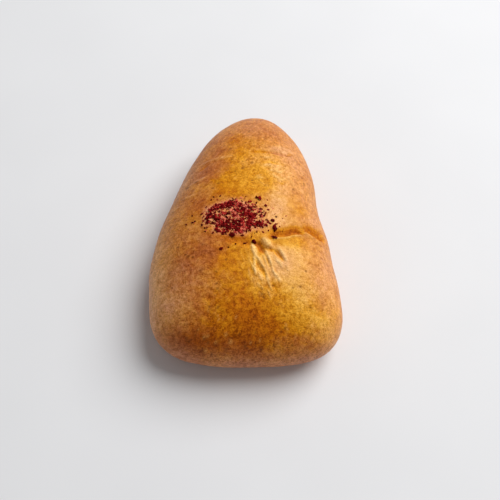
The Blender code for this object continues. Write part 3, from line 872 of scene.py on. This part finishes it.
def crust_material():
    n = Nodes("baked_crust")
    under = n.mask("underside")
    mottle = n.noise(0.80, 3.0, 0.65)
    blotch = n.noise(4.6, 3.0, 0.55, 0.4)
    pale_spots = n.spots(2.1, 0.48, 0.50)
    pores = n.spots(4.2, 0.52, 0.24, 0.013)

    # broad tones of the browning with its painted shade and highlights, then a dusty or a glossy
    # tint of each; the dusty tint also paints sheen and whitish reflection
    # raised relief a little paler: painted highlight on the grain
    tone = n.plus(n.mask("bake_light_and_shade"), n.mask("relief"), -0.25)
    tone = n.plus(tone, blotch, -0.55)
    tone = n.plus(tone, n.noise(15.0, 2.0), -0.30)
    tone = n.math("ADD", tone, 0.125 + 0.275 + 0.15)
    tone = n.plus(tone, pores, 0.45)
    dust_and_sheen_mix = n.plus(n.mask("dust_and_sheen"), n.noise(7.0, 3.0, 0.6), 0.7)
    dust_and_sheen_mix = n.plus(dust_and_sheen_mix, n.noise(2.0, 3.0, 0.6), 0.55)
    dust_and_sheen_mix = n.math("SUBTRACT", dust_and_sheen_mix, 0.665, clamp=True)
    colour = n.mix(dust_and_sheen_mix, n.ramp(tone, GLOSSY), n.ramp(tone, DUSTY_AND_SHEENED))
    # ridges and the knob are cream, partly stretched skin and partly painted highlight; blisters
    # pale, partly painted highlight; pits nearly burnt
    colour = n.mix(n.mask("cream_highlight"), colour, (0.95, 0.60, 0.24, 1.0))
    colour = n.mix(n.math("MULTIPLY", n.mask("pale"), 0.55), colour, (0.82, 0.38, 0.09, 1.0))
    colour = n.mix(n.math("MULTIPLY", n.mask("dark"), 0.85), colour, (0.16, 0.04, 0.006, 1.0))
    # the grain: each raised dot a little lighter, each pit a little darker, painted light and shade
    # on the bumps, over random mottling
    grain = n.plus(-1.50, n.mask("relief"), 0.46)
    grain = n.plus(grain, mottle, 1.20)
    grain = n.plus(grain, n.noise(0.5, 2.0, 0.6), 1.30)
    grain = n.plus(grain, pale_spots, 0.30)
    grain = n.plus(1.0, grain, n.mask("coarse"))
    grain = n.math("MINIMUM", n.math("MAXIMUM", grain, 0.50), 1.36)
    shade = n.add("ShaderNodeCombineColor")
    for channel, power in (("Red", 0.85), ("Green", 1.15), ("Blue", 1.9)):
        n.link(n.math("POWER", grain, power), shade.inputs[channel])
    colour = n.mix(1.0, colour, shade.outputs[0], "MULTIPLY")
    # sumac dust tints the crust between the flakes
    tint = n.math("MULTIPLY", n.mask("stain"), n.remap(n.noise(1.1, 2.0), 0.3, 0.65, 0.30, 0.9))
    colour = n.mix(tint, colour, (0.98, 0.410, 0.200, 1.0))
    n.link(colour, n.shader.inputs["Base Color"])

    rough = n.plus(0.35, n.noise(2.2, 2.0), 0.16)
    rough = n.plus(rough, n.mask("cream_highlight"), -0.10)
    n.link(n.plus(rough, under, 0.25), n.shader.inputs["Roughness"])
    n.shader.inputs["Specular IOR Level"].default_value = 0.22
    n.shader.inputs["Specular Tint"].default_value = (1.0, 0.74, 0.26, 1.0)

    bump = n.bump(n.noise(0.55, 3.0, 0.6), 0.08)
    bump = n.bump(mottle, 0.17, 1.0, bump)
    bump = n.bump(n.math("SUBTRACT", pale_spots, pores), 0.09, 1.0, bump)
    n.link(bump, n.shader.inputs["Normal"])
    return n.material


def floor_material():
    n = Nodes("pale_floor")
    colour = n.ramp(
        n.noise(60.0, 2.0), [(0.3, (0.80, 0.80, 0.81)), (0.7, (0.82, 0.82, 0.83))]
    )
    n.link(colour, n.shader.inputs["Base Color"])
    n.shader.inputs["Roughness"].default_value = 0.7
    n.shader.inputs["Specular IOR Level"].default_value = 0.2
    return n.material


mesh.materials.append(crust_material())
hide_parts("fatayer")
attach(crust, "root")

# ---------------------------------------------------------------- sumac flakes
def flake_mesh(rng, size):
    """A dry crumb: a squashed, irregular closed chip about size mm across."""
    made = bmesh.new()
    bmesh.ops.create_icosphere(made, subdivisions=2 if size > 0.6 else 1, radius=0.5)
    verts = np.array([v.co[:] for v in made.verts])
    faces = np.array([[v.index for v in f.verts] for f in made.faces])
    made.free()
    for _ in range(3):
        lean = rng.normal(size=3)
        lean /= np.linalg.norm(lean)
        cut = verts @ lean
        limit = rng.uniform(0.18, 0.38)
        verts = verts - np.outer(np.maximum(cut - limit, 0) * 0.85, lean)
    lumps = 1 + 0.16 * np.sin(verts @ (rng.normal(size=(3, 4)) * 6.0) + rng.uniform(0, 6, 4))
    verts = verts * lumps.prod(axis=1)[:, None]
    verts = verts * (rng.uniform(0.95, 1.35), rng.uniform(0.65, 0.95), rng.uniform(0.35, 0.6))
    return verts * size, faces


def sprinkle():
    """Every flake joined in one mesh, each lying on the crust under it."""
    rng = np.random.default_rng(2024)
    places = []
    while len(places) < FLAKES_DENSE:
        x, y = rng.uniform(-24, 11), rng.uniform(-18, 3)
        clump = smoothstep(-0.35, 0.15, noise_c(np.array([[x / 1.8, y / 1.5, 0.5]])))[0]
        if rng.uniform() < lying(np.array([x]), np.array([y]))[0] * (0.22 + 0.78 * clump):
            places.append((x, y, rng.choice([0.6, 0.8, 1.05, 1.35], p=[0.3, 0.33, 0.25, 0.12])))
    for count, spread, low, high in (
        (FLAKES_LOOSE, 0.55, 0.35, 0.85),
        (FLAKES_STRAY, 0.85, 0.3, 0.55),
    ):
        for _ in range(count):
            turn, out = rng.uniform(0, 2 * math.pi), min(abs(rng.normal(0.0, spread)), 1.3)
            x = PATCH_MIDDLE[0] + PATCH_REACH[0] * out * math.cos(turn)
            y = PATCH_MIDDLE[1] + PATCH_REACH[1] * out * math.sin(turn)
            places.append((x, y, rng.uniform(low, high)))
    while len(places) < FLAKES_DENSE + FLAKES_LOOSE + FLAKES_STRAY + CRUMBS:
        x, y = rng.uniform(-24, 11), rng.uniform(-19, 4)
        if rng.uniform() < lying(np.array([x]), np.array([y]), 1.0)[0]:
            places.append((x, y, rng.uniform(0.2, 0.4)))
    scattered = len(places)
    places += APART

    ground = BVHTree.FromObject(crust, bpy.context.evaluated_depsgraph_get())
    all_verts, all_faces, shades, total = [], [], [], 0
    for number, (x, y, size) in enumerate(places):
        hit, normal, _, _ = ground.ray_cast(
            Vector((x * MM, y * MM, 0.08)), Vector((0, 0, -1))
        )
        if hit is None:
            continue
        verts, faces = flake_mesh(rng, size)
        turn = Matrix.Rotation(rng.uniform(0, 2 * math.pi), 3, "Z")
        tilt = Matrix.Rotation(math.radians(rng.uniform(0, 24)), 3, "X")
        spin = Matrix.Rotation(rng.uniform(0, 2 * math.pi), 3, "Z")
        frame_at = normal.to_track_quat("Z", "Y").to_matrix()
        place = np.array(frame_at @ spin @ tilt @ turn)
        verts = verts @ place.T
        up = np.array(normal[:])
        thick = lying(np.array([x]), np.array([y]))[0]
        lift = -(verts @ up).min() * 0.55 + max(thick - 0.6, 0) * rng.uniform(0.0, 0.8)
        verts = verts + np.array(hit[:]) / MM + up * lift
        all_verts.append(verts * MM)
        all_faces.append(faces + total)
        total += len(verts)
        shade = rng.beta(0.7, 1.0)
        if number >= scattered:
            shade *= 0.40
        else:  # darker where it lies thickest, in soft clumps
            clump = noise_d(np.array([[x / 3.4, y / 2.4, 2.5]]))[0]
            shade = min(1.0, shade * (1.20 - 0.40 * thick + 0.55 * clump))
        shades.append(np.full(len(verts), shade))
    mesh = bpy.data.meshes.new("sumac")
    mesh.from_pydata(
        np.concatenate(all_verts).tolist(), [], np.concatenate(all_faces).tolist()
    )
    mesh.update()
    layer = mesh.attributes.new("shade", "FLOAT", "POINT")
    layer.data.foreach_set("value", np.concatenate(shades).astype(np.float32))
    obj = bpy.data.objects.new("sumac", mesh)
    bpy.context.scene.collection.objects.link(obj)
    return obj


def sumac_material():
    n = Nodes("dry_sumac")
    shade = n.plus(n.mask("shade"), n.noise(0.5, 2.0), 0.5)
    colour = n.ramp(
        n.math("SUBTRACT", shade, 0.25, clamp=True),
        [
            (0.0, (0.055, 0.0005, 0.001)),
            (0.30, (0.150, 0.001, 0.002)),
            (0.60, (0.355, 0.012, 0.011)),
            (0.82, (0.540, 0.062, 0.042)),
            (1.0, (0.800, 0.230, 0.130)),
        ],
    )
    n.link(colour, n.shader.inputs["Base Color"])
    n.shader.inputs["Roughness"].default_value = 0.6
    n.shader.inputs["Specular IOR Level"].default_value = 0.25
    n.shader.inputs["Specular Tint"].default_value = (1.0, 0.08, 0.08, 1.0)
    n.link(n.bump(n.noise(0.3, 2.0), 0.03), n.shader.inputs["Normal"])
    return n.material


sumac = sprinkle()
sumac.data.materials.append(sumac_material())
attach(sumac, "root")

# ---------------------------------------------------------------- studio
bpy.ops.mesh.primitive_plane_add(size=4.0, location=(0, 0, 0))
floor = bpy.context.active_object
floor.name = "floor"
floor.data.materials.append(floor_material())

world = bpy.data.worlds.new("studio")
bpy.context.scene.world = world
world.use_nodes = True
background = world.node_tree.nodes["Background"]
background.inputs["Color"].default_value = (0.97, 0.98, 1.0, 1.0)
background.inputs["Strength"].default_value = 0.24


def area_light(name, azimuth, elevation, distance, size, watts, colour=(1, 1, 1)):
    light = bpy.data.lights.new(name, "AREA")
    light.shape = "DISK"
    light.size = size
    light.energy = watts
    light.color = colour
    obj = bpy.data.objects.new(name, light)
    az, el = math.radians(azimuth), math.radians(elevation)
    towards = Vector(
        (math.cos(el) * math.cos(az), math.cos(el) * math.sin(az), math.sin(el))
    )
    obj.location = towards * distance
    obj.rotation_euler = towards.to_track_quat("Z", "Y").to_euler()
    bpy.context.scene.collection.objects.link(obj)
    return obj


area_light("key", 42.0, 52.0, 1.5, 1.3, 25.1)

scene = bpy.context.scene
scene.view_settings.view_transform = "Standard"
scene.view_settings.look = "None"
scene.view_settings.exposure = 0.0
scene.view_settings.gamma = 1.0

# ---------------------------------------------------------------- camera
CAMERA_AT = (0.780, -162.488, 296.023)  # mm
LOOK_DOWN = 61.42  # degrees below the horizon
ROLL = 4.2
FOCAL_MM = 685.4 / 500.0 * 36.0

down, roll = math.radians(LOOK_DOWN), math.radians(ROLL)
forward = Vector((0.0, math.cos(down), -math.sin(down)))
level = Vector((1.0, 0.0, 0.0))
upward = level.cross(forward)
right = level * math.cos(roll) + upward * math.sin(roll)
top = upward * math.cos(roll) - level * math.sin(roll)
lens = bpy.data.cameras.new("camera")
lens.sensor_width = 36.0
lens.sensor_fit = "HORIZONTAL"
lens.lens = FOCAL_MM
lens.clip_start = 0.01
camera = bpy.data.objects.new("camera", lens)
turn = Matrix((right, top, -forward)).transposed().to_4x4()
camera.matrix_world = Matrix.Translation(Vector(CAMERA_AT) * MM) @ turn
scene.collection.objects.link(camera)
scene.camera = camera
